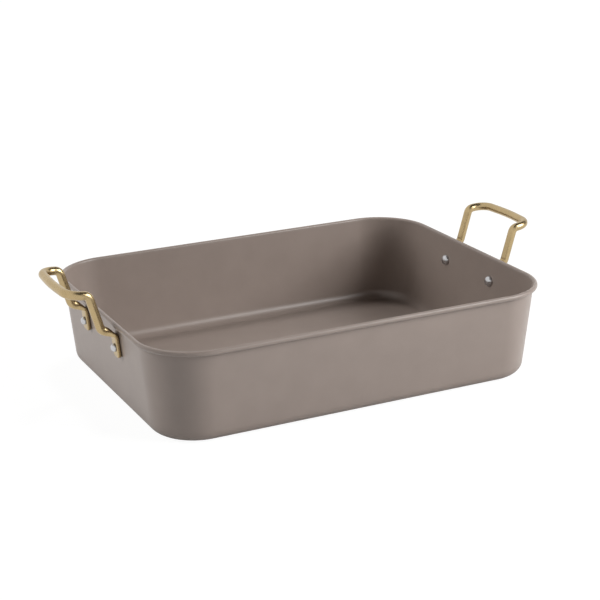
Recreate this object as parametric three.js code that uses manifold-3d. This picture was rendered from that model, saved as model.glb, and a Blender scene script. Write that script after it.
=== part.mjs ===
// Deep rectangular roasting pan. Millimetres, +Z up, origin under the middle of the base.
// A pressed sheet-steel body with a rolled rim carries a bent-rod handle on each short wall.
// Each handle ends in two flattened ears, and one dome-head rivet holds each ear to the wall.
import * as THREE from 'three';
import { mergeVertices } from 'three/addons/utils/BufferGeometryUtils.js';
import Module from 'manifold-3d';

const wasm = await Module();
wasm.setup();

const { degToRad, lerp, smoothstep } = THREE.MathUtils;

// Pan body
const rimLength = 400; // along X, over the rolled rim
const rimWidth = 298; // along Y, over the rolled rim
const panHeight = 88; // underside to the top of the rim
const rimCornerRadius = 55; // in plan, outside of the rim
const sheet = 0.9; // steel with its coating
const wallDraft = degToRad(5.75); // lean of the walls, out from the base
const footRadius = 10; // inside bend between the walls and the floor
const rollBore = 2.8; // hollow inside the rolled rim
const rollGap = 0.6; // from the roll's free edge to the wall

// Handles
const rodDiameter = 8;
const legSpacing = 80.4; // between the two ears, along Y
const earWidth = 12;
const earThickness = 3.4;
const earEdgeRadius = 0.9;
const earTail = 9.2; // ear below its rivet
const earTop = 12; // ear above its rivet, up to the knee
const flatRunout = 9; // length over which the ear turns into round rod
const kneeGap = 3.5; // rod at the knee, below the rolled rim
const legStandoff = 9.7; // foot of the legs, outside the rim
const footRise = 6.1; // from the knee up to the foot of the legs
const legRise = 33; // straight height of the legs
const legLean = degToRad(16); // away from the pan
const armReach = 17.8; // from the legs out to the grip's corners
const armSlope = degToRad(6.6); // up and away from the pan
const gripBow = 2.8; // middle of the grip, beyond its corners
const kneeBend = 5; // radii on the rod's centre line
const legBend = 6;
const cornerBend = 14;
const gripBend = 225;

// Rivets
const shankDiameter = 5;
const innerHeadDiameter = 10.4;
const innerHeadHeight = 4.2;
const outerHeadDiameter = 7.6;
const outerHeadHeight = 3.4;

// Clearances between pieces
const seatGap = 0.3; // between faces that rest on each other
const boreGap = 0.3; // around a rivet's shank

// Smoothness of round shapes
const cornerSteps = 10;
const footSteps = 5;
const rollSteps = 11;
const bendSteps = 5;
const straightStep = 8; // longest straight stretch of rod between two rings
const sectionSteps = 4; // points in a quarter of the rod's section
const lathedSides = 20;
const domeSteps = 5;

// Derived sizes
const rollRadius = rollBore / 2 + sheet;
const rodRadius = rodDiameter / 2;
const kneeHeight = panHeight - 2 * rollRadius - kneeGap - rodRadius;
const rivetHeight = kneeHeight - earTop;
const boreDiameter = shankDiameter + 2 * boreGap;

const coating = new THREE.MeshStandardMaterial({ color: 0x8f837b, roughness: 0.45, metalness: 0.1 });
const brass = new THREE.MeshStandardMaterial({ color: 0xc8ab6a, roughness: 0.25, metalness: 1 });
const steel = new THREE.MeshStandardMaterial({ color: 0xc9c8c6, roughness: 0.3, metalness: 1 });

// Points on a plane arc, both ends included.
function arc(centre, radius, from, to, steps) {
  return Array.from({ length: steps + 1 }, (_, i) => {
    const angle = lerp(from, to, i / steps);
    return new THREE.Vector2(Math.cos(angle), Math.sin(angle)).multiplyScalar(radius).add(centre);
  });
}

// Closed body through rings with equal numbers of points, with a flat fan over both end rings.
// The first ring runs anticlockwise as seen from outside, looking at its end.
function loft(rings) {
  const count = rings[0].length;
  const points = rings.flat();
  const index = [];
  for (let row = 0; row + 1 < rings.length; row += 1) {
    for (let k = 0; k < count; k += 1) {
      const a = row * count + k;
      const b = row * count + (k + 1) % count;
      index.push(a, a + count, b + count, a, b + count, b);
    }
  }
  const lastRow = (rings.length - 1) * count;
  for (const [ring, start, flip] of [[rings[0], 0, false], [rings.at(-1), lastRow, true]]) {
    const hub = points.length;
    points.push(ring.reduce((sum, p) => sum.add(p), new THREE.Vector3()).divideScalar(count));
    for (let k = 0; k < count; k += 1) {
      const pair = [start + k, start + (k + 1) % count];
      index.push(hub, ...(flip ? pair.reverse() : pair));
    }
  }
  return new THREE.BufferGeometry().setFromPoints(points).setIndex(index);
}

function toSolid(geometry) {
  const bare = geometry.clone().deleteAttribute('normal').deleteAttribute('uv');
  const merged = mergeVertices(bare);
  const vertProperties = new Float32Array(merged.attributes.position.array);
  const triVerts = new Uint32Array(merged.index.array);
  return new wasm.Manifold(new wasm.Mesh({ numProp: 3, vertProperties, triVerts }));
}

function fromSolid(solid) {
  const { vertProperties, triVerts } = solid.getMesh();
  const geometry = new THREE.BufferGeometry();
  geometry.setAttribute('position', new THREE.BufferAttribute(vertProperties, 3));
  geometry.setIndex(new THREE.BufferAttribute(triVerts, 1));
  return geometry;
}

function cutAway(geometry, cutters) {
  return fromSolid(cutters.map(toSolid).reduce((solid, cutter) => solid.subtract(cutter), toSolid(geometry)));
}

function namedMesh(name, geometry, material) {
  const mesh = new THREE.Mesh(geometry, material);
  mesh.name = name;
  return mesh;
}

// The wall's section is drawn as inset from the rim's outer edge against height.
const rollCentre = new THREE.Vector2(rollRadius, panHeight - rollRadius);

// Section of the sheet: floor edge, foot bend, wall, rolled rim, and back down the outside.
function sheetSection() {
  const wallAngle = Math.PI + wallDraft;
  const floorAngle = 1.5 * Math.PI;
  const footHeight = sheet + footRadius;
  const footOffset = rollRadius + footRadius; // from the roll's centre, square to the wall
  const wallRun = (rollCentre.y + footOffset * Math.sin(wallDraft) - footHeight) / Math.cos(wallDraft);
  const footInset = rollCentre.x + footOffset * Math.cos(wallDraft) + wallRun * Math.sin(wallDraft);
  const foot = new THREE.Vector2(footInset, footHeight);
  const edgeReach = (rollBore / 2) * Math.cos(wallDraft) - rollGap;
  const rollEnd = 2 * Math.PI - Math.acos(edgeReach / rollRadius);
  return [
    ...arc(foot, footRadius, floorAngle, wallAngle, footSteps),
    ...arc(rollCentre, rollRadius, wallDraft, rollEnd, rollSteps),
    ...arc(rollCentre, rollBore / 2, rollEnd, wallDraft, rollSteps),
    ...arc(foot, footRadius + sheet, wallAngle, floorAngle, footSteps),
  ];
}

// Rounded rectangle in plan, drawn in from the rim's outer edge by an inset.
function panRing(inset, height) {
  const ring = [];
  const centreX = rimLength / 2 - rimCornerRadius;
  const centreY = rimWidth / 2 - rimCornerRadius;
  for (const [quarter, sideX, sideY] of [[0, 1, 1], [1, -1, 1], [2, -1, -1], [3, 1, -1]]) {
    const centre = new THREE.Vector2(sideX * centreX, sideY * centreY);
    const from = quarter * Math.PI / 2;
    const corner = arc(centre, rimCornerRadius - inset, from, from + Math.PI / 2, cornerSteps);
    ring.push(...corner.map((p) => new THREE.Vector3(p.x, p.y, height)));
  }
  return ring;
}

// Directions on the wall of a handle's side, which faces +X before the side is turned.
const wallOut = new THREE.Vector3(Math.cos(wallDraft), 0, -Math.sin(wallDraft));
const wallUp = new THREE.Vector3(Math.sin(wallDraft), 0, Math.cos(wallDraft));

// Point on the wall's outer face at the rivets' height.
function rivetPoint(y) {
  const faceOffset = rollBore / 2;
  const drop = (rollCentre.y + faceOffset * Math.sin(wallDraft) - rivetHeight) / Math.cos(wallDraft);
  const inset = rollCentre.x + faceOffset * Math.cos(wallDraft) + drop * Math.sin(wallDraft);
  return new THREE.Vector3(rimLength / 2 - inset, y, rivetHeight);
}

// Turns a shape made along +Y so that it points out of the wall at a rivet.
function rivetMatrix(y) {
  const turn = new THREE.Quaternion().setFromEuler(new THREE.Euler(0, wallDraft, -Math.PI / 2));
  return new THREE.Matrix4().compose(rivetPoint(y), turn, new THREE.Vector3(1, 1, 1));
}

const rivetPlaces = [-legSpacing / 2, legSpacing / 2];
const sideTurns = { right: 0, left: Math.PI };

function rivetBore(y) {
  const length = 4 * (sheet + seatGap + earThickness);
  const bore = new THREE.CylinderGeometry(boreDiameter / 2, boreDiameter / 2, length, lathedSides);
  return bore.applyMatrix4(rivetMatrix(y));
}

function panBody() {
  const body = loft(sheetSection().map((p) => panRing(p.x, p.y)));
  const turns = Object.values(sideTurns);
  const bores = turns.flatMap((turn) => rivetPlaces.map((y) => rivetBore(y).rotateZ(turn)));
  return namedMesh('pan_body', cutAway(body, bores), coating);
}

// Points along straights joined by round bends. Each corner has a point and a bend radius.
function bentPath(corners) {
  const path = [corners[0].point];
  const runTo = (end) => {
    const start = path.at(-1);
    const pieces = Math.ceil(start.distanceTo(end) / straightStep);
    for (let i = 1; i <= pieces; i += 1) path.push(start.clone().lerp(end, i / pieces));
  };
  for (let i = 1; i + 1 < corners.length; i += 1) {
    const { point, bend } = corners[i];
    const back = corners[i - 1].point.clone().sub(point).normalize();
    const ahead = corners[i + 1].point.clone().sub(point).normalize();
    const half = back.angleTo(ahead) / 2;
    const middle = back.clone().add(ahead).normalize();
    const centre = point.clone().addScaledVector(middle, bend / Math.sin(half));
    const axis = back.clone().cross(ahead).normalize();
    const spoke = point.clone().addScaledVector(back, bend / Math.tan(half)).sub(centre);
    runTo(centre.clone().add(spoke));
    for (let step = 1; step <= bendSteps; step += 1) {
      const turn = -(Math.PI - 2 * half) * step / bendSteps;
      path.push(spoke.clone().applyAxisAngle(axis, turn).add(centre));
    }
  }
  runTo(corners.at(-1).point);
  return path;
}

// Centre line of a handle, from one ear over the grip to the other ear.
function handlePath() {
  const seat = rivetPoint(-legSpacing / 2).addScaledVector(wallOut, seatGap + earThickness / 2);
  const earEnd = seat.clone().addScaledVector(wallUp, -earTail);
  const knee = seat.clone().addScaledVector(wallUp, earTop);
  const foot = new THREE.Vector3(rimLength / 2 + legStandoff, seat.y, kneeHeight + footRise);
  const shoulder = foot.clone().add(new THREE.Vector3(legRise * Math.tan(legLean), 0, legRise));
  const corner = shoulder.clone().add(new THREE.Vector3(armReach, 0, armReach * Math.tan(armSlope)));
  const gripEdge = corner.clone().add(new THREE.Vector3(gripBow, 0, gripBow * Math.tan(armSlope)));
  const half = [
    { point: earEnd, bend: 0 },
    { point: knee, bend: kneeBend },
    { point: foot, bend: legBend },
    { point: shoulder, bend: legBend },
    { point: corner, bend: cornerBend },
  ];
  const gripMiddle = { point: gripEdge.setY(0), bend: gripBend };
  const mirrored = half.map(({ point, bend }) => ({ point: point.clone().setY(-point.y), bend }));
  return bentPath([...half, gripMiddle, ...mirrored.reverse()]);
}

// Section of the rod: 0 is round and 1 is the flat ear.
function rodSection(flatness) {
  const halfWidth = lerp(rodRadius, earWidth / 2, flatness);
  const halfThickness = lerp(rodRadius, earThickness / 2, flatness);
  const edge = lerp(rodRadius, earEdgeRadius, flatness);
  const step = Math.PI / 2 / sectionSteps;
  const section = [];
  for (const [quarter, sideX, sideY] of [[0, 1, 1], [1, -1, 1], [2, -1, -1], [3, 1, -1]]) {
    const centre = new THREE.Vector2(sideX * (halfWidth - edge), sideY * (halfThickness - edge));
    const from = quarter * Math.PI / 2 + step / 2;
    section.push(...arc(centre, edge, from, from + Math.PI / 2 - step, sectionSteps - 1));
  }
  return section;
}

// Rings along the centre line. The section's width stays square to the bend it goes through.
function handleRings() {
  const path = handlePath();
  const runs = path.map((p, i) => (i === 0 ? 0 : p.distanceTo(path[i - 1])));
  const total = runs.reduce((sum, run) => sum + run, 0);
  const width = new THREE.Vector3(0, 1, 0);
  let travelled = 0;
  return path.map((point, i) => {
    travelled += runs[i];
    const before = path[Math.max(i - 1, 0)];
    const after = path[Math.min(i + 1, path.length - 1)];
    const incoming = point.clone().sub(before).normalize();
    const outgoing = after.clone().sub(point).normalize();
    const tangent = incoming.add(outgoing).normalize();
    width.addScaledVector(tangent, -width.dot(tangent)).normalize();
    const depth = width.clone().cross(tangent);
    const fromEnd = Math.min(travelled, total - travelled);
    const earLength = earTail + earTop;
    const flatness = 1 - smoothstep(fromEnd, earLength, earLength + flatRunout);
    const place = ({ x, y }) => point.clone().addScaledVector(width, x).addScaledVector(depth, y);
    return rodSection(flatness).map(place);
  });
}

function handle(side) {
  return namedMesh(`handle_${side}`, cutAway(loft(handleRings()), rivetPlaces.map(rivetBore)), brass);
}

// Half profile of a dome, a quarter of an ellipse, from its edge to its tip.
function dome(diameter, rise, base, direction) {
  return Array.from({ length: domeSteps + 1 }, (_, i) => {
    const angle = (1 - i / domeSteps) * Math.PI / 2;
    return new THREE.Vector2(Math.sin(angle) * diameter / 2, base + direction * Math.cos(angle) * rise);
  });
}

// Rivet along +Y, with the wall's outer face at zero: one head in the pan, one over the ear.
function rivetShape() {
  const innerSeat = -sheet - seatGap;
  const outerSeat = seatGap + earThickness + seatGap;
  const profile = [
    ...dome(innerHeadDiameter, innerHeadHeight, innerSeat, -1).reverse(),
    new THREE.Vector2(shankDiameter / 2, innerSeat),
    new THREE.Vector2(shankDiameter / 2, outerSeat),
    ...dome(outerHeadDiameter, outerHeadHeight, outerSeat, 1),
  ];
  return new THREE.LatheGeometry(profile, lathedSides);
}

function rivet(side, y) {
  const end = Math.cos(sideTurns[side]) * y < 0 ? 'front' : 'back';
  const mesh = namedMesh(`rivet_${side}_${end}`, rivetShape(), steel);
  mesh.applyMatrix4(rivetMatrix(y));
  return mesh;
}

// A handle with its two rivets, turned to its short wall.
function handleSide(side) {
  const group = new THREE.Group();
  group.rotation.z = sideTurns[side];
  group.add(handle(side), ...rivetPlaces.map((y) => rivet(side, y)));
  return group;
}

const roastingPan = new THREE.Group();
roastingPan.add(panBody(), handleSide('right'), handleSide('left'));

export default roastingPan;
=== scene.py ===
"""Roasting pan of coated sheet steel with two riveted rod handles, dressed for a studio picture."""

import math

import bmesh
import bpy
from bpy.props import FloatProperty, FloatVectorProperty, PointerProperty
from mathutils import Matrix, Vector


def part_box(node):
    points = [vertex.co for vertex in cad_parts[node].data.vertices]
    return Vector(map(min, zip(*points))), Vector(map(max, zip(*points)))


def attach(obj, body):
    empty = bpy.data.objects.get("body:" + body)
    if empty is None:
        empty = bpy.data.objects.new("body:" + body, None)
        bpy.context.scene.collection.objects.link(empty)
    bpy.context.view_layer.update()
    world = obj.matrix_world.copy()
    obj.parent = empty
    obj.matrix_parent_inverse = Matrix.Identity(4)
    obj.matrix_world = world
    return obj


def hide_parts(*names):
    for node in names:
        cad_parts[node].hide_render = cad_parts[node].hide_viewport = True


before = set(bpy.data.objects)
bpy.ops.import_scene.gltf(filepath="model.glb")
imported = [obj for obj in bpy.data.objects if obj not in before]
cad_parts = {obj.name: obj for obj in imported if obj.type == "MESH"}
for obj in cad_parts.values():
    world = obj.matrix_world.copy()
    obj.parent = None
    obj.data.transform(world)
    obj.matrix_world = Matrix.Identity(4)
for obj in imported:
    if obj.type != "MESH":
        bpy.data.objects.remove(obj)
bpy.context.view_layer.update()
pan_low, pan_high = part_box("pan_body")

bl_info = {
    "name": "Roasting pan",
    "version": (1, 0, 0),
    "blender": (4, 5, 0),
    "location": "3D View > Sidebar > Roasting pan",
    "description": "Builds a coated steel roasting pan with riveted brass handles, and its studio",
    "category": "Add Mesh",
}

MM = 0.001  # metres in a millimetre
BODY = "root"
SIDE_TURNS = {"right": 0.0, "left": math.pi}
SHARP_ANGLE = math.radians(40)

# Smoothness of round shapes
CORNER_STEPS = 30
FOOT_STEPS = 12
ROLL_STEPS = 28
BEND_STEPS = 16
EDGE_STEPS = 4
END_STEPS = 8
DOME_STEPS = 14
LATHE_SIDES = 48
ROD_STEP = 2.5 * MM

# Shares of a straight stretch at which it gets a point, dense by its ends to keep it flat
STRAIGHT_SHARES = (0.02, 0.1, 0.3, 0.5, 0.7, 0.9, 0.98)
FLAT_SHARES = (0.7, 0.35)  # the same for half of the ear's flat face
END_ROUNDING = 0.7  # radius round the ear's end face, as a share of the radius along its edges
CUTTER_LENGTH = 4  # in thicknesses of the wall and the ear together

NOISE_RANGE = (0.3, 0.7)  # most of a noise texture's values
WHITE = (1, 1, 1, 1)

# Studio
LAMP_DISTANCE = 2.2
FILL_STRENGTH = 0.01
FLOOR_HALF = 4.0
FLOOR_COLOUR = (0.8, 0.8, 0.8, 1)
FLOOR_SEEN_WHITE = 0.85  # share of plain white in what the eye sees of the floor
FLOOR_FADE = (0.4, 1.4)  # distances from the pan's middle over which the floor's white rises
FLOOR_WHITE = (1.1, 1.18)  # strength of the floor's white before and after that
CONTACT_REACH = 20 * MM  # how far from the pan the floor's mirrored white is dimmed, as painted contact shade
CONTACT_SAMPLES = 6


def length(name, description, default):
    """A size in metres."""
    return FloatProperty(name=name, description=description, default=default, unit="LENGTH", precision=5)


def angle(name, description, degrees):
    """An angle, written in degrees."""
    return FloatProperty(name=name, description=description, default=math.radians(degrees), subtype="ANGLE")


def colour(name, description, default):
    """A colour in linear light."""
    return FloatVectorProperty(
        name=name, description=description, default=default, subtype="COLOR", size=3, min=0, max=1
    )


def share(name, description, default):
    """A plain number from 0 to 1."""
    return FloatProperty(name=name, description=description, default=default, min=0, max=1, subtype="FACTOR")


def power(name, description, watts):
    """The power of a lamp."""
    return FloatProperty(name=name, description=description, default=watts, min=0, unit="POWER")


class PanSizes(bpy.types.PropertyGroup):
    """Sizes of the pressed body."""

    rim_length: length("Rim length", "Along X, over the rolled rim", pan_high.x - pan_low.x)
    rim_width: length("Rim width", "Along Y, over the rolled rim", pan_high.y - pan_low.y)
    height: length("Height", "Underside to the top of the rim", pan_high.z - pan_low.z)
    corner_radius: length("Corner radius", "In plan, outside of the rim", 55 * MM)
    sheet: length("Sheet", "Thickness of the steel with its coating", 0.9 * MM)
    draft: angle("Wall draft", "Lean of the walls, out from the base", 5.75)
    foot_radius: length("Foot radius", "Inside bend between the walls and the floor", 10 * MM)
    roll_bore: length("Roll bore", "Hollow inside the rolled rim", 2.8 * MM)
    roll_gap: length("Roll gap", "From the roll's free edge to the wall", 0.6 * MM)


class HandleSizes(bpy.types.PropertyGroup):
    """Sizes of the bent-rod handles."""

    rod: length("Rod", "Diameter of the rod", 8 * MM)
    leg_spacing: length("Leg spacing", "Between the two ears, along Y", 80.4 * MM)
    ear_width: length("Ear width", "Across the flattened ear", 12 * MM)
    ear_thickness: length("Ear thickness", "Through the flattened ear", 3.4 * MM)
    ear_edge: length("Ear edge", "Radius along the ear's edges", 0.9 * MM)
    ear_corner: length("Ear corner", "Radius of the ear's lower corners", 3 * MM)
    ear_tail: length("Ear tail", "Ear below its rivet", 9.2 * MM)
    ear_top: length("Ear top", "Ear above its rivet, up to the knee", 12 * MM)
    flat_runout: length("Flat run-out", "Length over which the ear turns into round rod", 9 * MM)
    knee_gap: length("Knee gap", "Rod at the knee, below the rolled rim", 3.5 * MM)
    leg_standoff: length("Leg standoff", "Foot of the legs, outside the rim", 9.7 * MM)
    foot_rise: length("Foot rise", "From the knee up to the foot of the legs", 6.1 * MM)
    leg_rise: length("Leg rise", "Straight height of the legs", 33 * MM)
    leg_lean: angle("Leg lean", "Away from the pan", 16)
    arm_reach: length("Arm reach", "From the legs out to the grip's corners", 17.8 * MM)
    arm_slope: angle("Arm slope", "Up and away from the pan", 6.6)
    grip_bow: length("Grip bow", "Middle of the grip, beyond its corners", 2.8 * MM)
    knee_bend: length("Knee bend", "Radius on the rod's centre line", 5 * MM)
    leg_bend: length("Leg bend", "Radius on the rod's centre line", 6 * MM)
    corner_bend: length("Corner bend", "Radius on the rod's centre line", 14 * MM)
    grip_bend: length("Grip bend", "Radius on the rod's centre line", 225 * MM)


class RivetSizes(bpy.types.PropertyGroup):
    """Sizes of the rivets and of the gaps around them."""

    shank: length("Shank", "Diameter of the shank", 5 * MM)
    inner_head: length("Inner head", "Diameter of the head inside the pan", 10.4 * MM)
    inner_rise: length("Inner rise", "Height of the head inside the pan", 4.2 * MM)
    outer_head: length("Outer head", "Diameter of the head on the ear", 7.6 * MM)
    outer_rise: length("Outer rise", "Height of the head on the ear", 3.4 * MM)
    seat_gap: length("Seat gap", "Between faces that rest on each other", 0.3 * MM)
    bore_gap: length("Bore gap", "Around the shank", 0.3 * MM)


class Finishes(bpy.types.PropertyGroup):
    """Colours and gloss of the surfaces."""

    coating: colour("Coating", "Taupe coating of the pan", (0.30, 0.245, 0.215))
    coating_gloss: share("Coating roughness", "Roughness of the coating", 0.38)
    brass: colour("Brass", "Pale brass of the handles", (0.47, 0.355, 0.19))
    brass_gloss: share("Brass roughness", "Roughness of the polished rod", 0.29)
    steel: colour("Steel", "Bright steel of the rivets", (0.55, 0.55, 0.56))
    steel_gloss: share("Steel roughness", "Roughness of the rivet heads", 0.3)


class StudioSettings(bpy.types.PropertyGroup):
    """The camera and the lamps."""

    azimuth: angle("Azimuth", "Camera's place round the pan, from the front", -26.23)
    elevation: angle("Elevation", "Camera's height above the horizon", 19.55)
    roll: angle("Roll", "Camera's turn about its own line of sight", -0.66)
    distance: length("Distance", "From the camera to the middle of the pan", 1.4715)
    target_height: length("Target height", "Height of the point that the camera looks at", 44.4 * MM)
    lens: FloatProperty(name="Lens", description="Focal length in millimetres", default=91.96)
    shift_x: FloatProperty(name="Shift X", description="Sideways shift of the picture", default=0.00688)
    shift_y: FloatProperty(name="Shift Y", description="Upward shift of the picture", default=0.03148)
    key_power: power("Key power", "Lamp in front, on the right", 51)
    side_power: power("Side power", "Lamp behind, on the left", 27.8)
    top_power: power("Top power", "Small lamp above, towards the back", 11.9)


def arc(centre, radius, start, end, steps):
    """Points on a plane arc, both ends included."""
    points = []
    for i in range(steps + 1):
        turn = start + (end - start) * i / steps
        points.append(centre + radius * Vector((math.cos(turn), math.sin(turn))))
    return points


def between(start, end):
    """Points on a straight stretch, without its ends."""
    return [start.lerp(end, s) for s in STRAIGHT_SHARES]


def smooth_step(value, low, high):
    """Rises smoothly from 0 at low to 1 at high."""
    t = min(max((value - low) / (high - low), 0.0), 1.0)
    return t * t * (3 - 2 * t)


def rounding(radius, distance):
    """How far a round edge of that radius draws in, at a distance from its end."""
    left = max(radius - distance, 0.0)
    return radius - math.sqrt(radius * radius - left * left)


def lofted_mesh(name, rings):
    """Closed mesh through rings with equal numbers of points, with a fan of faces over each end."""
    count = len(rings[0])
    points = [p for ring in rings for p in ring]
    faces = []
    for row in range(len(rings) - 1):
        for k in range(count):
            a = row * count + k
            b = row * count + (k + 1) % count
            faces.append((a, b, b + count, a + count))
    last = len(points) - count
    for start, ring in ((0, rings[0]), (last, rings[-1])):
        hub = len(points)
        points.append(sum(ring, Vector((0, 0, 0))) / count)
        faces += [(start + k, start + (k + 1) % count, hub) for k in range(count)]
    mesh = bpy.data.meshes.new(name)
    mesh.from_pydata(points, [], faces)
    return mesh


def smoothed(mesh):
    """Points the faces out and shades the mesh smooth, apart from its sharp edges."""
    work = bmesh.new()
    work.from_mesh(mesh)
    bmesh.ops.recalc_face_normals(work, faces=work.faces)
    work.to_mesh(mesh)
    work.free()
    mesh.shade_smooth()
    mesh.set_sharp_from_angle(angle=SHARP_ANGLE)
    return mesh


def new_object(name, mesh):
    """An object for a mesh, in the scene."""
    piece = bpy.data.objects.new(name, mesh)
    bpy.context.scene.collection.objects.link(piece)
    return piece


def stand_for(piece, node, material):
    """Puts a piece in the place of a solid of the frame."""
    piece.data.materials.clear()
    piece.data.materials.append(material)
    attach(piece, BODY)
    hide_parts(node)


def roll_radius(pan):
    """Outer radius of the rolled rim."""
    return pan.roll_bore / 2 + pan.sheet


def roll_centre(pan):
    """Middle of the roll, as inset from the rim's outer edge and height."""
    return Vector((roll_radius(pan), pan.height - roll_radius(pan)))


def sheet_section(pan):
    """Section of the sheet as inset and height: floor, foot, wall, roll, and back down the outside."""
    wall_turn = math.pi + pan.draft
    floor_turn = 1.5 * math.pi
    roll = roll_centre(pan)
    foot_height = pan.sheet + pan.foot_radius
    foot_offset = roll_radius(pan) + pan.foot_radius
    run = (roll.y + foot_offset * math.sin(pan.draft) - foot_height) / math.cos(pan.draft)
    foot_inset = roll.x + foot_offset * math.cos(pan.draft) + run * math.sin(pan.draft)
    foot = Vector((foot_inset, foot_height))
    edge_reach = pan.roll_bore / 2 * math.cos(pan.draft) - pan.roll_gap
    roll_end = 2 * math.pi - math.acos(edge_reach / roll_radius(pan))
    flat = Vector((pan.foot_radius / 2, 0))
    inner_foot = arc(foot, pan.foot_radius, floor_turn, wall_turn, FOOT_STEPS)
    outer_roll = arc(roll, roll_radius(pan), pan.draft, roll_end, ROLL_STEPS)
    inner_roll = arc(roll, pan.roll_bore / 2, roll_end, pan.draft, ROLL_STEPS)
    outer_foot = arc(foot, pan.foot_radius + pan.sheet, wall_turn, floor_turn, FOOT_STEPS)
    return [
        inner_foot[0] + flat,
        *inner_foot,
        *between(inner_foot[-1], outer_roll[0]),
        *outer_roll,
        *inner_roll,
        *between(inner_roll[-1], outer_foot[0]),
        *outer_foot,
        outer_foot[-1] + flat,
    ]


def pan_ring(pan, inset, height):
    """Rounded rectangle in plan, drawn in from the rim's outer edge by an inset."""
    reach = Vector((pan.rim_length / 2 - pan.corner_radius, pan.rim_width / 2 - pan.corner_radius))
    corners = []
    for quarter, (side_x, side_y) in enumerate(((1, 1), (-1, 1), (-1, -1), (1, -1))):
        centre = Vector((side_x * reach.x, side_y * reach.y))
        start = quarter * math.pi / 2
        corners.append(arc(centre, pan.corner_radius - inset, start, start + math.pi / 2, CORNER_STEPS))
    plan = []
    for corner, following in zip(corners, corners[1:] + corners[:1]):
        plan += corner + between(corner[-1], following[0])
    return [Vector((p.x, p.y, height)) for p in plan]


def knee_height(pan, handle):
    """Height of the rod's middle at the knee."""
    return pan.height - 2 * roll_radius(pan) - handle.knee_gap - handle.rod / 2


def rivet_point(pan, handle, y):
    """Point on the wall's outer face where a rivet goes through, on the right side."""
    height = knee_height(pan, handle) - handle.ear_top
    roll = roll_centre(pan)
    face = pan.roll_bore / 2
    drop = (roll.y + face * math.sin(pan.draft) - height) / math.cos(pan.draft)
    inset = roll.x + face * math.cos(pan.draft) + drop * math.sin(pan.draft)
    return Vector((pan.rim_length / 2 - inset, y, height))


def wall_directions(pan):
    """Out of the right wall, and up along it."""
    out = Vector((math.cos(pan.draft), 0, -math.sin(pan.draft)))
    up = Vector((math.sin(pan.draft), 0, math.cos(pan.draft)))
    return out, up


def rivet_matrix(pan, handle, y, turn):
    """Turns a shape made along +Z so that it points out of a short wall at a rivet."""
    out, up = wall_directions(pan)
    across = up.cross(out)
    axes = Matrix((across, up, out)).transposed().to_4x4()
    place = Matrix.Translation(rivet_point(pan, handle, y)) @ axes
    return Matrix.Rotation(turn, 4, "Z") @ place


def rivet_places(handle):
    """Where the rivets are along Y."""
    return (-handle.leg_spacing / 2, handle.leg_spacing / 2)


def bore_cutters(pan, handle, rivet, turns):
    """Plain round cutters through the wall and the ears, at every rivet of the sides asked for."""
    cutters = []
    depth = CUTTER_LENGTH * (pan.sheet + rivet.seat_gap + handle.ear_thickness)
    radius = rivet.shank / 2 + rivet.bore_gap
    for turn in turns:
        for y in rivet_places(handle):
            work = bmesh.new()
            bmesh.ops.create_cone(
                work, cap_ends=True, segments=LATHE_SIDES, radius1=radius, radius2=radius, depth=depth
            )
            work.transform(rivet_matrix(pan, handle, y, turn))
            mesh = bpy.data.meshes.new("bore")
            work.to_mesh(mesh)
            work.free()
            cutters.append(new_object("bore", mesh))
    return cutters


def bored(piece, cutters):
    """Cuts the bores out of a piece and removes the cutters."""
    for cutter in cutters:
        cut = piece.modifiers.new("bore", "BOOLEAN")
        cut.operation = "DIFFERENCE"
        cut.solver = "EXACT"
        cut.object = cutter
    graph = bpy.context.evaluated_depsgraph_get()
    mesh = bpy.data.meshes.new_from_object(piece.evaluated_get(graph))
    piece.modifiers.clear()
    piece.data = smoothed(mesh)
    for cutter in cutters:
        bpy.data.objects.remove(cutter)
    return piece


def bent_path(corners):
    """Points along straights joined by round bends, from corners given as point and bend radius."""
    path = [corners[0][0]]

    def run_to(end):
        start = path[-1]
        pieces = math.ceil((end - start).length / ROD_STEP)
        for i in range(1, pieces + 1):
            path.append(start.lerp(end, i / pieces))

    for before, (point, bend), after in zip(corners, corners[1:], corners[2:]):
        back = (before[0] - point).normalized()
        ahead = (after[0] - point).normalized()
        half = back.angle(ahead) / 2
        centre = point + (back + ahead).normalized() * (bend / math.sin(half))
        axis = back.cross(ahead).normalized()
        spoke = point + back * (bend / math.tan(half)) - centre
        run_to(centre + spoke)
        for step in range(1, BEND_STEPS + 1):
            turn = Matrix.Rotation(-(math.pi - 2 * half) * step / BEND_STEPS, 3, axis)
            path.append(centre + turn @ spoke)
    run_to(corners[-1][0])
    return path


def handle_path(pan, handle, rivet):
    """Centre line of the right handle, from one ear over the grip to the other ear."""
    out, up = wall_directions(pan)
    near = rivet_places(handle)[0]
    seat = rivet_point(pan, handle, near) + out * (rivet.seat_gap + handle.ear_thickness / 2)
    ear_end = seat - up * handle.ear_tail
    knee = seat + up * handle.ear_top
    foot_height = knee_height(pan, handle) + handle.foot_rise
    foot = Vector((pan.rim_length / 2 + handle.leg_standoff, near, foot_height))
    shoulder = foot + Vector((handle.leg_rise * math.tan(handle.leg_lean), 0, handle.leg_rise))
    slope = Vector((1, 0, math.tan(handle.arm_slope)))
    corner = shoulder + slope * handle.arm_reach
    middle = corner + slope * handle.grip_bow
    half = [
        (ear_end, 0),
        (knee, handle.knee_bend),
        (foot, handle.leg_bend),
        (shoulder, handle.leg_bend),
        (corner, handle.corner_bend),
    ]
    mirrored = [(Vector((p.x, -p.y, p.z)), bend) for p, bend in reversed(half)]
    grip = (Vector((middle.x, 0, middle.z)), handle.grip_bend)
    return bent_path([*half, grip, *mirrored])


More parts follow.
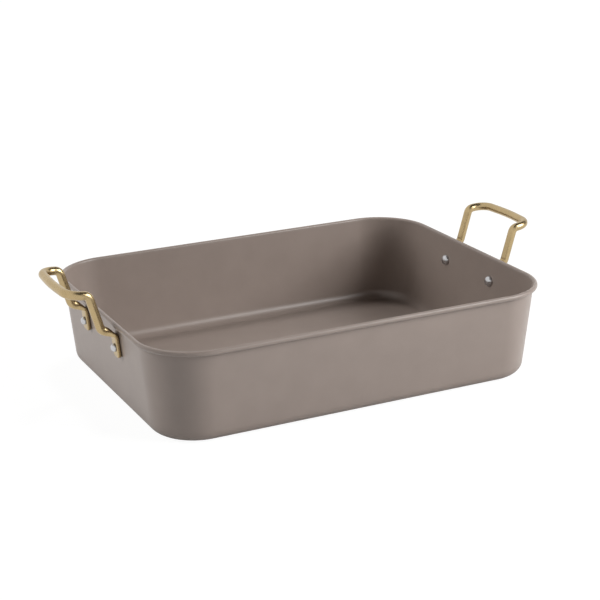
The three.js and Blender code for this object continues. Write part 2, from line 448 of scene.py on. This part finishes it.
def with_round_ends(path, radius):
    """Adds points near both ends of a path, where the ear's round corners need them."""
    def dense(end, following):
        direction = (following - end).normalized()
        steps = [radius * (1 - math.cos(math.pi / 2 * k / END_STEPS)) for k in range(END_STEPS)]
        return [end + direction * s for s in steps]

    inner = [p for p in path if min((p - path[0]).length, (p - path[-1]).length) >= radius]
    last = dense(path[-1], path[-2])
    return dense(path[0], path[1]) + inner + last[::-1]


def mirrored_ring(quarter, top):
    """Whole ring from its first quarter and the point where the second quarter starts."""
    back = quarter[:0:-1]
    ring = [*quarter, top]
    ring += [Vector((-p.x, p.y)) for p in back]
    ring += [-p for p in quarter]
    ring.append(-top)
    ring += [Vector((p.x, -p.y)) for p in back]
    return ring


def rod_section(handle, flatness, draw_in, edge_draw_in):
    """Section of the rod, from round at flatness 0 to the ear at 1."""
    half_width = handle.ear_width / 2 - draw_in
    half_thickness = handle.ear_thickness / 2
    edge = handle.ear_edge
    centre = Vector((half_width - edge, half_thickness - edge))
    flats = [Vector((centre.x * s, half_thickness)) for s in FLAT_SHARES]
    quarter = [Vector((half_width, 0)), *arc(centre, edge, 0, math.pi / 2, EDGE_STEPS), *flats]
    ear = mirrored_ring(quarter, Vector((0, half_thickness)))
    narrowing = 1 - edge_draw_in / half_width
    thinning = 1 - edge_draw_in / half_thickness
    ring = []
    for i, point in enumerate(ear):
        turn = 2 * math.pi * i / len(ear)
        round_point = handle.rod / 2 * Vector((math.cos(turn), math.sin(turn)))
        blended = round_point.lerp(point, flatness)
        ring.append(Vector((blended.x * narrowing, blended.y * thinning)))
    return ring


def handle_rings(pan, handle, rivet):
    """Rings along the handle's centre line."""
    path = with_round_ends(handle_path(pan, handle, rivet), handle.ear_corner)
    runs = [0.0] + [(b - a).length for a, b in zip(path, path[1:])]
    total = sum(runs)
    ear_length = handle.ear_tail + handle.ear_top
    width = Vector((0, 1, 0))
    travelled = 0.0
    rings = []
    for i, point in enumerate(path):
        travelled += runs[i]
        incoming = (point - path[max(i - 1, 0)]).normalized()
        outgoing = (path[min(i + 1, len(path) - 1)] - point).normalized()
        tangent = (incoming + outgoing).normalized()
        width = (width - tangent * width.dot(tangent)).normalized()
        depth = width.cross(tangent)
        from_end = min(travelled, total - travelled)
        flatness = 1 - smooth_step(from_end, ear_length, ear_length + handle.flat_runout)
        draw_in = rounding(handle.ear_corner, from_end)
        edge_draw_in = rounding(handle.ear_edge * END_ROUNDING, from_end)
        section = rod_section(handle, flatness, draw_in, edge_draw_in)
        rings.append([point + width * p.x + depth * p.y for p in section])
    return rings


def dome(diameter, rise, seat, direction):
    """Half profile of a dome, a quarter of an ellipse, from its edge to near its tip."""
    profile = []
    for i in range(DOME_STEPS):
        turn = math.pi / 2 * (1 - i / DOME_STEPS)
        profile.append((diameter / 2 * math.sin(turn), seat + direction * rise * math.cos(turn)))
    return profile


def rivet_mesh(pan, handle, rivet, name):
    """Rivet along +Z, with the wall's outer face at zero."""
    inner_seat = -pan.sheet - rivet.seat_gap
    outer_seat = handle.ear_thickness + 2 * rivet.seat_gap
    inner = dome(rivet.inner_head, rivet.inner_rise, inner_seat, -1)
    outer = dome(rivet.outer_head, rivet.outer_rise, outer_seat, 1)
    shank = [(rivet.shank / 2, inner_seat), (rivet.shank / 2, outer_seat)]
    rings = []
    for radius, height in [*reversed(inner), *shank, *outer]:
        turns = [2 * math.pi * k / LATHE_SIDES for k in range(LATHE_SIDES)]
        rings.append([Vector((radius * math.cos(t), radius * math.sin(t), height)) for t in turns])
    return lofted_mesh(name, rings)


def new_material(name):
    """A material with its main shader, and the object's own coordinates for its textures."""
    material = bpy.data.materials.new(name)
    material.use_nodes = True
    nodes = material.node_tree.nodes
    shader = nodes["Principled BSDF"]
    place = nodes.new("ShaderNodeTexCoord").outputs["Object"]
    return material, shader, place


def noise(tree, place, scale, detail):
    """Noise of about one feature in each length of 1 / scale metres."""
    texture = tree.nodes.new("ShaderNodeTexNoise")
    texture.inputs["Scale"].default_value = scale
    texture.inputs["Detail"].default_value = detail
    tree.links.new(place, texture.inputs["Vector"])
    return texture.outputs["Fac"]


def mapped(tree, value, old_range, new_range):
    """Maps a value from one range to another, and holds it at the ends."""
    mapping = tree.nodes.new("ShaderNodeMapRange")
    for name, number in zip(("From Min", "From Max", "To Min", "To Max"), (*old_range, *new_range)):
        mapping.inputs[name].default_value = number
    tree.links.new(value, mapping.inputs["Value"])
    return mapping.outputs["Result"]


def tinted(tree, value, base, dark, light):
    """Colour that goes from a darker to a lighter shade of the base with a value."""
    ramp = tree.nodes.new("ShaderNodeValToRGB")
    for element, position, shade in zip(ramp.color_ramp.elements, NOISE_RANGE, (dark, light)):
        element.position = position
        element.color = (*[min(c * shade, 1) for c in base], 1)
    tree.links.new(value, ramp.inputs["Fac"])
    return ramp.outputs["Color"]


def bumped(tree, shader, height, depth, strength):
    """Fine relief of a depth in metres."""
    bump = tree.nodes.new("ShaderNodeBump")
    bump.inputs["Distance"].default_value = depth
    bump.inputs["Strength"].default_value = strength
    tree.links.new(height, bump.inputs["Height"])
    tree.links.new(bump.outputs["Normal"], shader.inputs["Normal"])


def coating_material(finish):
    """Satin taupe coating with fine metal pigment and a faint orange peel."""
    material, shader, place = new_material("taupe_coating")
    tree = material.node_tree
    clouds = noise(tree, place, scale=45, detail=3)
    tree.links.new(tinted(tree, clouds, finish.coating, dark=0.97, light=1.03), shader.inputs["Base Color"])
    grain = noise(tree, place, scale=2600, detail=2)
    roughness = (finish.coating_gloss - 0.05, finish.coating_gloss + 0.05)
    tree.links.new(mapped(tree, grain, NOISE_RANGE, roughness), shader.inputs["Roughness"])
    peel = noise(tree, place, scale=1400, detail=2)
    bumped(tree, shader, peel, depth=0.05 * MM, strength=0.25)
    return material


def brass_material(finish):
    """Pale brass, lightly clouded, with the soft relief of hand polishing."""
    material, shader, place = new_material("pale_brass")
    tree = material.node_tree
    clouds = noise(tree, place, scale=120, detail=3)
    tree.links.new(tinted(tree, clouds, finish.brass, dark=0.94, light=1.05), shader.inputs["Base Color"])
    grain = noise(tree, place, scale=900, detail=3)
    roughness = (finish.brass_gloss - 0.04, finish.brass_gloss + 0.06)
    tree.links.new(mapped(tree, grain, NOISE_RANGE, roughness), shader.inputs["Roughness"])
    shader.inputs["Metallic"].default_value = 1
    ripple = noise(tree, place, scale=350, detail=2)
    bumped(tree, shader, ripple, depth=0.08 * MM, strength=0.18)
    return material


def steel_material(finish):
    """Bright rivet steel with a faint pressed grain."""
    material, shader, place = new_material("rivet_steel")
    tree = material.node_tree
    clouds = noise(tree, place, scale=400, detail=3)
    tree.links.new(tinted(tree, clouds, finish.steel, dark=0.92, light=1.05), shader.inputs["Base Color"])
    grain = noise(tree, place, scale=2500, detail=3)
    roughness = (finish.steel_gloss - 0.05, finish.steel_gloss + 0.07)
    tree.links.new(mapped(tree, grain, NOISE_RANGE, roughness), shader.inputs["Roughness"])
    shader.inputs["Metallic"].default_value = 1
    pressing = noise(tree, place, scale=900, detail=2)
    bumped(tree, shader, pressing, depth=0.05 * MM, strength=0.3)
    return material


class AddShell(bpy.types.Operator):
    """Adds the pressed pan body with its rolled rim"""

    bl_idname = "roasting_pan.add_shell"
    bl_label = "Pan body"

    def execute(self, context):
        scene = context.scene
        pan, handle, rivet = scene.pan_sizes, scene.handle_sizes, scene.rivet_sizes
        rings = [pan_ring(pan, p.x, p.y) for p in sheet_section(pan)]
        shell = new_object("pan_shell", smoothed(lofted_mesh("pan_shell", rings)))
        bored(shell, bore_cutters(pan, handle, rivet, SIDE_TURNS.values()))
        stand_for(shell, "pan_body", coating_material(scene.pan_finishes))
        return {"FINISHED"}


class AddHandles(bpy.types.Operator):
    """Adds the two bent-rod handles"""

    bl_idname = "roasting_pan.add_handles"
    bl_label = "Handles"

    def execute(self, context):
        scene = context.scene
        pan, handle, rivet = scene.pan_sizes, scene.handle_sizes, scene.rivet_sizes
        brass = brass_material(scene.pan_finishes)
        for side, turn in SIDE_TURNS.items():
            mesh = lofted_mesh(f"{side}_handle", handle_rings(pan, handle, rivet))
            mesh.transform(Matrix.Rotation(turn, 4, "Z"))
            rod = new_object(f"{side}_handle", smoothed(mesh))
            bored(rod, bore_cutters(pan, handle, rivet, [turn]))
            stand_for(rod, f"handle_{side}", brass)
        return {"FINISHED"}


class AddRivets(bpy.types.Operator):
    """Adds the four dome-head rivets"""

    bl_idname = "roasting_pan.add_rivets"
    bl_label = "Rivets"

    def execute(self, context):
        scene = context.scene
        pan, handle, rivet = scene.pan_sizes, scene.handle_sizes, scene.rivet_sizes
        steel = steel_material(scene.pan_finishes)
        for side, turn in SIDE_TURNS.items():
            for y in rivet_places(handle):
                end = "front" if math.cos(turn) * y < 0 else "back"
                mesh = rivet_mesh(pan, handle, rivet, f"{side}_{end}_rivet")
                mesh.transform(rivet_matrix(pan, handle, y, turn))
                head = new_object(mesh.name, smoothed(mesh))
                stand_for(head, f"rivet_{side}_{end}", steel)
        return {"FINISHED"}


def bare_tree(owner):
    """Empty node tree of a material or of the world."""
    owner.use_nodes = True
    owner.node_tree.nodes.clear()
    return owner.node_tree


def worked_out(tree, operation, first, second):
    """Result of a math node for two values, each a socket or a plain number."""
    node = tree.nodes.new("ShaderNodeMath")
    node.operation = operation
    for socket, value in zip(node.inputs, (first, second)):
        if isinstance(value, bpy.types.NodeSocket):
            tree.links.new(value, socket)
        else:
            socket.default_value = value
    return node.outputs["Value"]


def seen_directly(tree):
    """1 for rays that show a surface to the eye, straight on, mirrored or through glass."""
    path = tree.nodes.new("ShaderNodeLightPath")
    mirrored = worked_out(tree, "MAXIMUM", path.outputs["Is Glossy Ray"], path.outputs["Is Transmission Ray"])
    return worked_out(tree, "MAXIMUM", path.outputs["Is Camera Ray"], mirrored)


def add_world(scene):
    """White surroundings to the eye, and a faint even fill light on the object."""
    scene.world = bpy.data.worlds.new("studio_white")
    tree = bare_tree(scene.world)
    fill = tree.nodes.new("ShaderNodeBackground")
    fill.inputs["Color"].default_value = WHITE
    fill.inputs["Strength"].default_value = FILL_STRENGTH
    white = tree.nodes.new("ShaderNodeBackground")
    white.inputs["Color"].default_value = WHITE
    mix = tree.nodes.new("ShaderNodeMixShader")
    tree.links.new(seen_directly(tree), mix.inputs["Fac"])
    tree.links.new(fill.outputs["Background"], mix.inputs[1])
    tree.links.new(white.outputs["Background"], mix.inputs[2])
    out = tree.nodes.new("ShaderNodeOutputWorld")
    tree.links.new(mix.outputs["Shader"], out.inputs["Surface"])


def floor_white(tree):
    """Strength of the floor's white: a little less round the pan, so that its shadow shows."""
    reach = tree.nodes.new("ShaderNodeVectorMath")
    reach.operation = "LENGTH"
    tree.links.new(tree.nodes.new("ShaderNodeTexCoord").outputs["Object"], reach.inputs[0])
    return mapped(tree, reach.outputs["Value"], FLOOR_FADE, FLOOR_WHITE)


def painted_contact_shade(tree):
    """1 on the open floor, but mirrored in gloss it darkens close to what stands there: painted contact
    shade, from ambient occlusion.
    """
    open_air = tree.nodes.new("ShaderNodeAmbientOcclusion")
    open_air.samples = CONTACT_SAMPLES
    open_air.inputs["Distance"].default_value = CONTACT_REACH
    glossy = tree.nodes.new("ShaderNodeLightPath").outputs["Is Glossy Ray"]
    unmirrored = worked_out(tree, "SUBTRACT", 1, glossy)
    return worked_out(tree, "MAXIMUM", open_air.outputs["AO"], unmirrored)


def floor_material():
    """Pale floor that melts into the white surroundings and keeps a faint shadow."""
    material = bpy.data.materials.new("pale_floor")
    tree = bare_tree(material)
    diffuse = tree.nodes.new("ShaderNodeBsdfDiffuse")
    diffuse.inputs["Color"].default_value = FLOOR_COLOUR
    glow = tree.nodes.new("ShaderNodeEmission")
    # the floor's white, dimmed in gloss next to the pan by painted contact shade
    strength = worked_out(tree, "MULTIPLY", floor_white(tree), painted_contact_shade(tree))
    tree.links.new(strength, glow.inputs["Strength"])
    mix = tree.nodes.new("ShaderNodeMixShader")
    tree.links.new(worked_out(tree, "MULTIPLY", seen_directly(tree), FLOOR_SEEN_WHITE), mix.inputs["Fac"])
    tree.links.new(diffuse.outputs["BSDF"], mix.inputs[1])
    tree.links.new(glow.outputs["Emission"], mix.inputs[2])
    out = tree.nodes.new("ShaderNodeOutputMaterial")
    tree.links.new(mix.outputs["Shader"], out.inputs["Surface"])
    return material


def flat_mesh(name, middle, across, up):
    """Four-sided flat mesh. Across and up are its half sides."""
    corners = [middle - across - up, middle + across - up, middle + across + up, middle - across + up]
    mesh = bpy.data.meshes.new(name)
    mesh.from_pydata(corners, [], [(0, 1, 2, 3)])
    return mesh


def add_floor():
    """Wide floor under the pan."""
    mesh = flat_mesh("floor", Vector((0, 0, 0)), Vector((FLOOR_HALF, 0, 0)), Vector((0, FLOOR_HALF, 0)))
    mesh.materials.append(floor_material())
    new_object("floor", mesh)


def add_lamp(name, direction, size, watts, mirrored):
    """Square soft lamp that looks at the middle of the pan, and shows in gloss if mirrored."""
    data = bpy.data.lights.new(name, "AREA")
    data.shape = "SQUARE"
    data.size = size
    data.energy = watts
    lamp = bpy.data.objects.new(name, data)
    aim = Vector(direction).normalized()
    lamp.location = aim * LAMP_DISTANCE
    lamp.rotation_mode = "QUATERNION"
    lamp.rotation_quaternion = (-aim).to_track_quat("-Z", "Y")
    lamp.visible_camera = False
    lamp.visible_glossy = mirrored
    bpy.context.scene.collection.objects.link(lamp)


def add_panel(name, middle, across, up, shade):
    """Dark studio panel that shows in gloss only. Across and up are its half sides."""
    material = bpy.data.materials.new(name)
    tree = bare_tree(material)
    grey = tree.nodes.new("ShaderNodeEmission")
    grey.inputs["Color"].default_value = (shade, shade, shade, 1)
    out = tree.nodes.new("ShaderNodeOutputMaterial")
    tree.links.new(grey.outputs["Emission"], out.inputs["Surface"])
    mesh = flat_mesh(name, Vector(middle), Vector(across), Vector(up))
    mesh.materials.append(material)
    panel = new_object(name, mesh)
    panel.visible_camera = False
    panel.visible_diffuse = False
    panel.visible_shadow = False
    panel.visible_transmission = False


def add_camera(scene, studio):
    """Camera at the photograph's viewing angle."""
    azimuth, elevation = studio.azimuth, studio.elevation
    back = Vector((
        math.sin(azimuth) * math.cos(elevation),
        -math.cos(azimuth) * math.cos(elevation),
        math.sin(elevation),
    ))
    data = bpy.data.cameras.new("camera")
    data.lens = studio.lens
    data.sensor_width = 36
    data.shift_x = studio.shift_x
    data.shift_y = studio.shift_y
    data.clip_start = 0.05
    camera = bpy.data.objects.new("camera", data)
    camera.location = Vector((0, 0, studio.target_height)) + back * studio.distance
    look = (-back).to_track_quat("-Z", "Y").to_matrix()
    camera.rotation_euler = (look @ Matrix.Rotation(studio.roll, 3, "Z")).to_euler()
    scene.collection.objects.link(camera)
    scene.camera = camera


class AddStudio(bpy.types.Operator):
    """Adds the floor, the lamps, the surroundings and the camera"""

    bl_idname = "roasting_pan.add_studio"
    bl_label = "Studio"

    def execute(self, context):
        scene = context.scene
        studio = scene.pan_studio
        scene.view_settings.view_transform = "Standard"
        add_camera(scene, studio)
        add_floor()
        add_world(scene)
        add_lamp("key_lamp", (0.644, -0.579, 0.5), 1.2, studio.key_power, mirrored=True)
        add_lamp("side_lamp", (-0.785, 0.453, 0.423), 1.2, studio.side_power, mirrored=False)
        add_lamp("top_lamp", (0.211, 0.366, 0.906), 0.4, studio.top_power, mirrored=False)
        add_panel("dark_panel", (1.79, -1.25, 2.6), (2.07, 2.95, 0), (-2.13, 1.49, 2.19), shade=0.03)
        return {"FINISHED"}


class RoastingPanPanel(bpy.types.Panel):
    """Lists the pieces of the pan"""

    bl_idname = "VIEW3D_PT_roasting_pan"
    bl_label = "Roasting pan"
    bl_space_type = "VIEW_3D"
    bl_region_type = "UI"
    bl_category = "Roasting pan"

    def draw(self, context):
        for operator in OPERATORS:
            self.layout.operator(operator.bl_idname)


OPERATORS = (AddStudio, AddShell, AddHandles, AddRivets)
SETTINGS = {
    "pan_sizes": PanSizes,
    "handle_sizes": HandleSizes,
    "rivet_sizes": RivetSizes,
    "pan_finishes": Finishes,
    "pan_studio": StudioSettings,
}


def register():
    for group in SETTINGS.values():
        bpy.utils.register_class(group)
    for name, group in SETTINGS.items():
        setattr(bpy.types.Scene, name, PointerProperty(type=group))
    for operator in OPERATORS:
        bpy.utils.register_class(operator)
    bpy.utils.register_class(RoastingPanPanel)


def unregister():
    bpy.utils.unregister_class(RoastingPanPanel)
    for operator in reversed(OPERATORS):
        bpy.utils.unregister_class(operator)
    for name, group in SETTINGS.items():
        delattr(bpy.types.Scene, name)
        bpy.utils.unregister_class(group)


def main():
    register()
    bpy.ops.roasting_pan.add_studio()
    bpy.ops.roasting_pan.add_shell()
    bpy.ops.roasting_pan.add_handles()
    bpy.ops.roasting_pan.add_rivets()


if __name__ == "__main__":
    main()
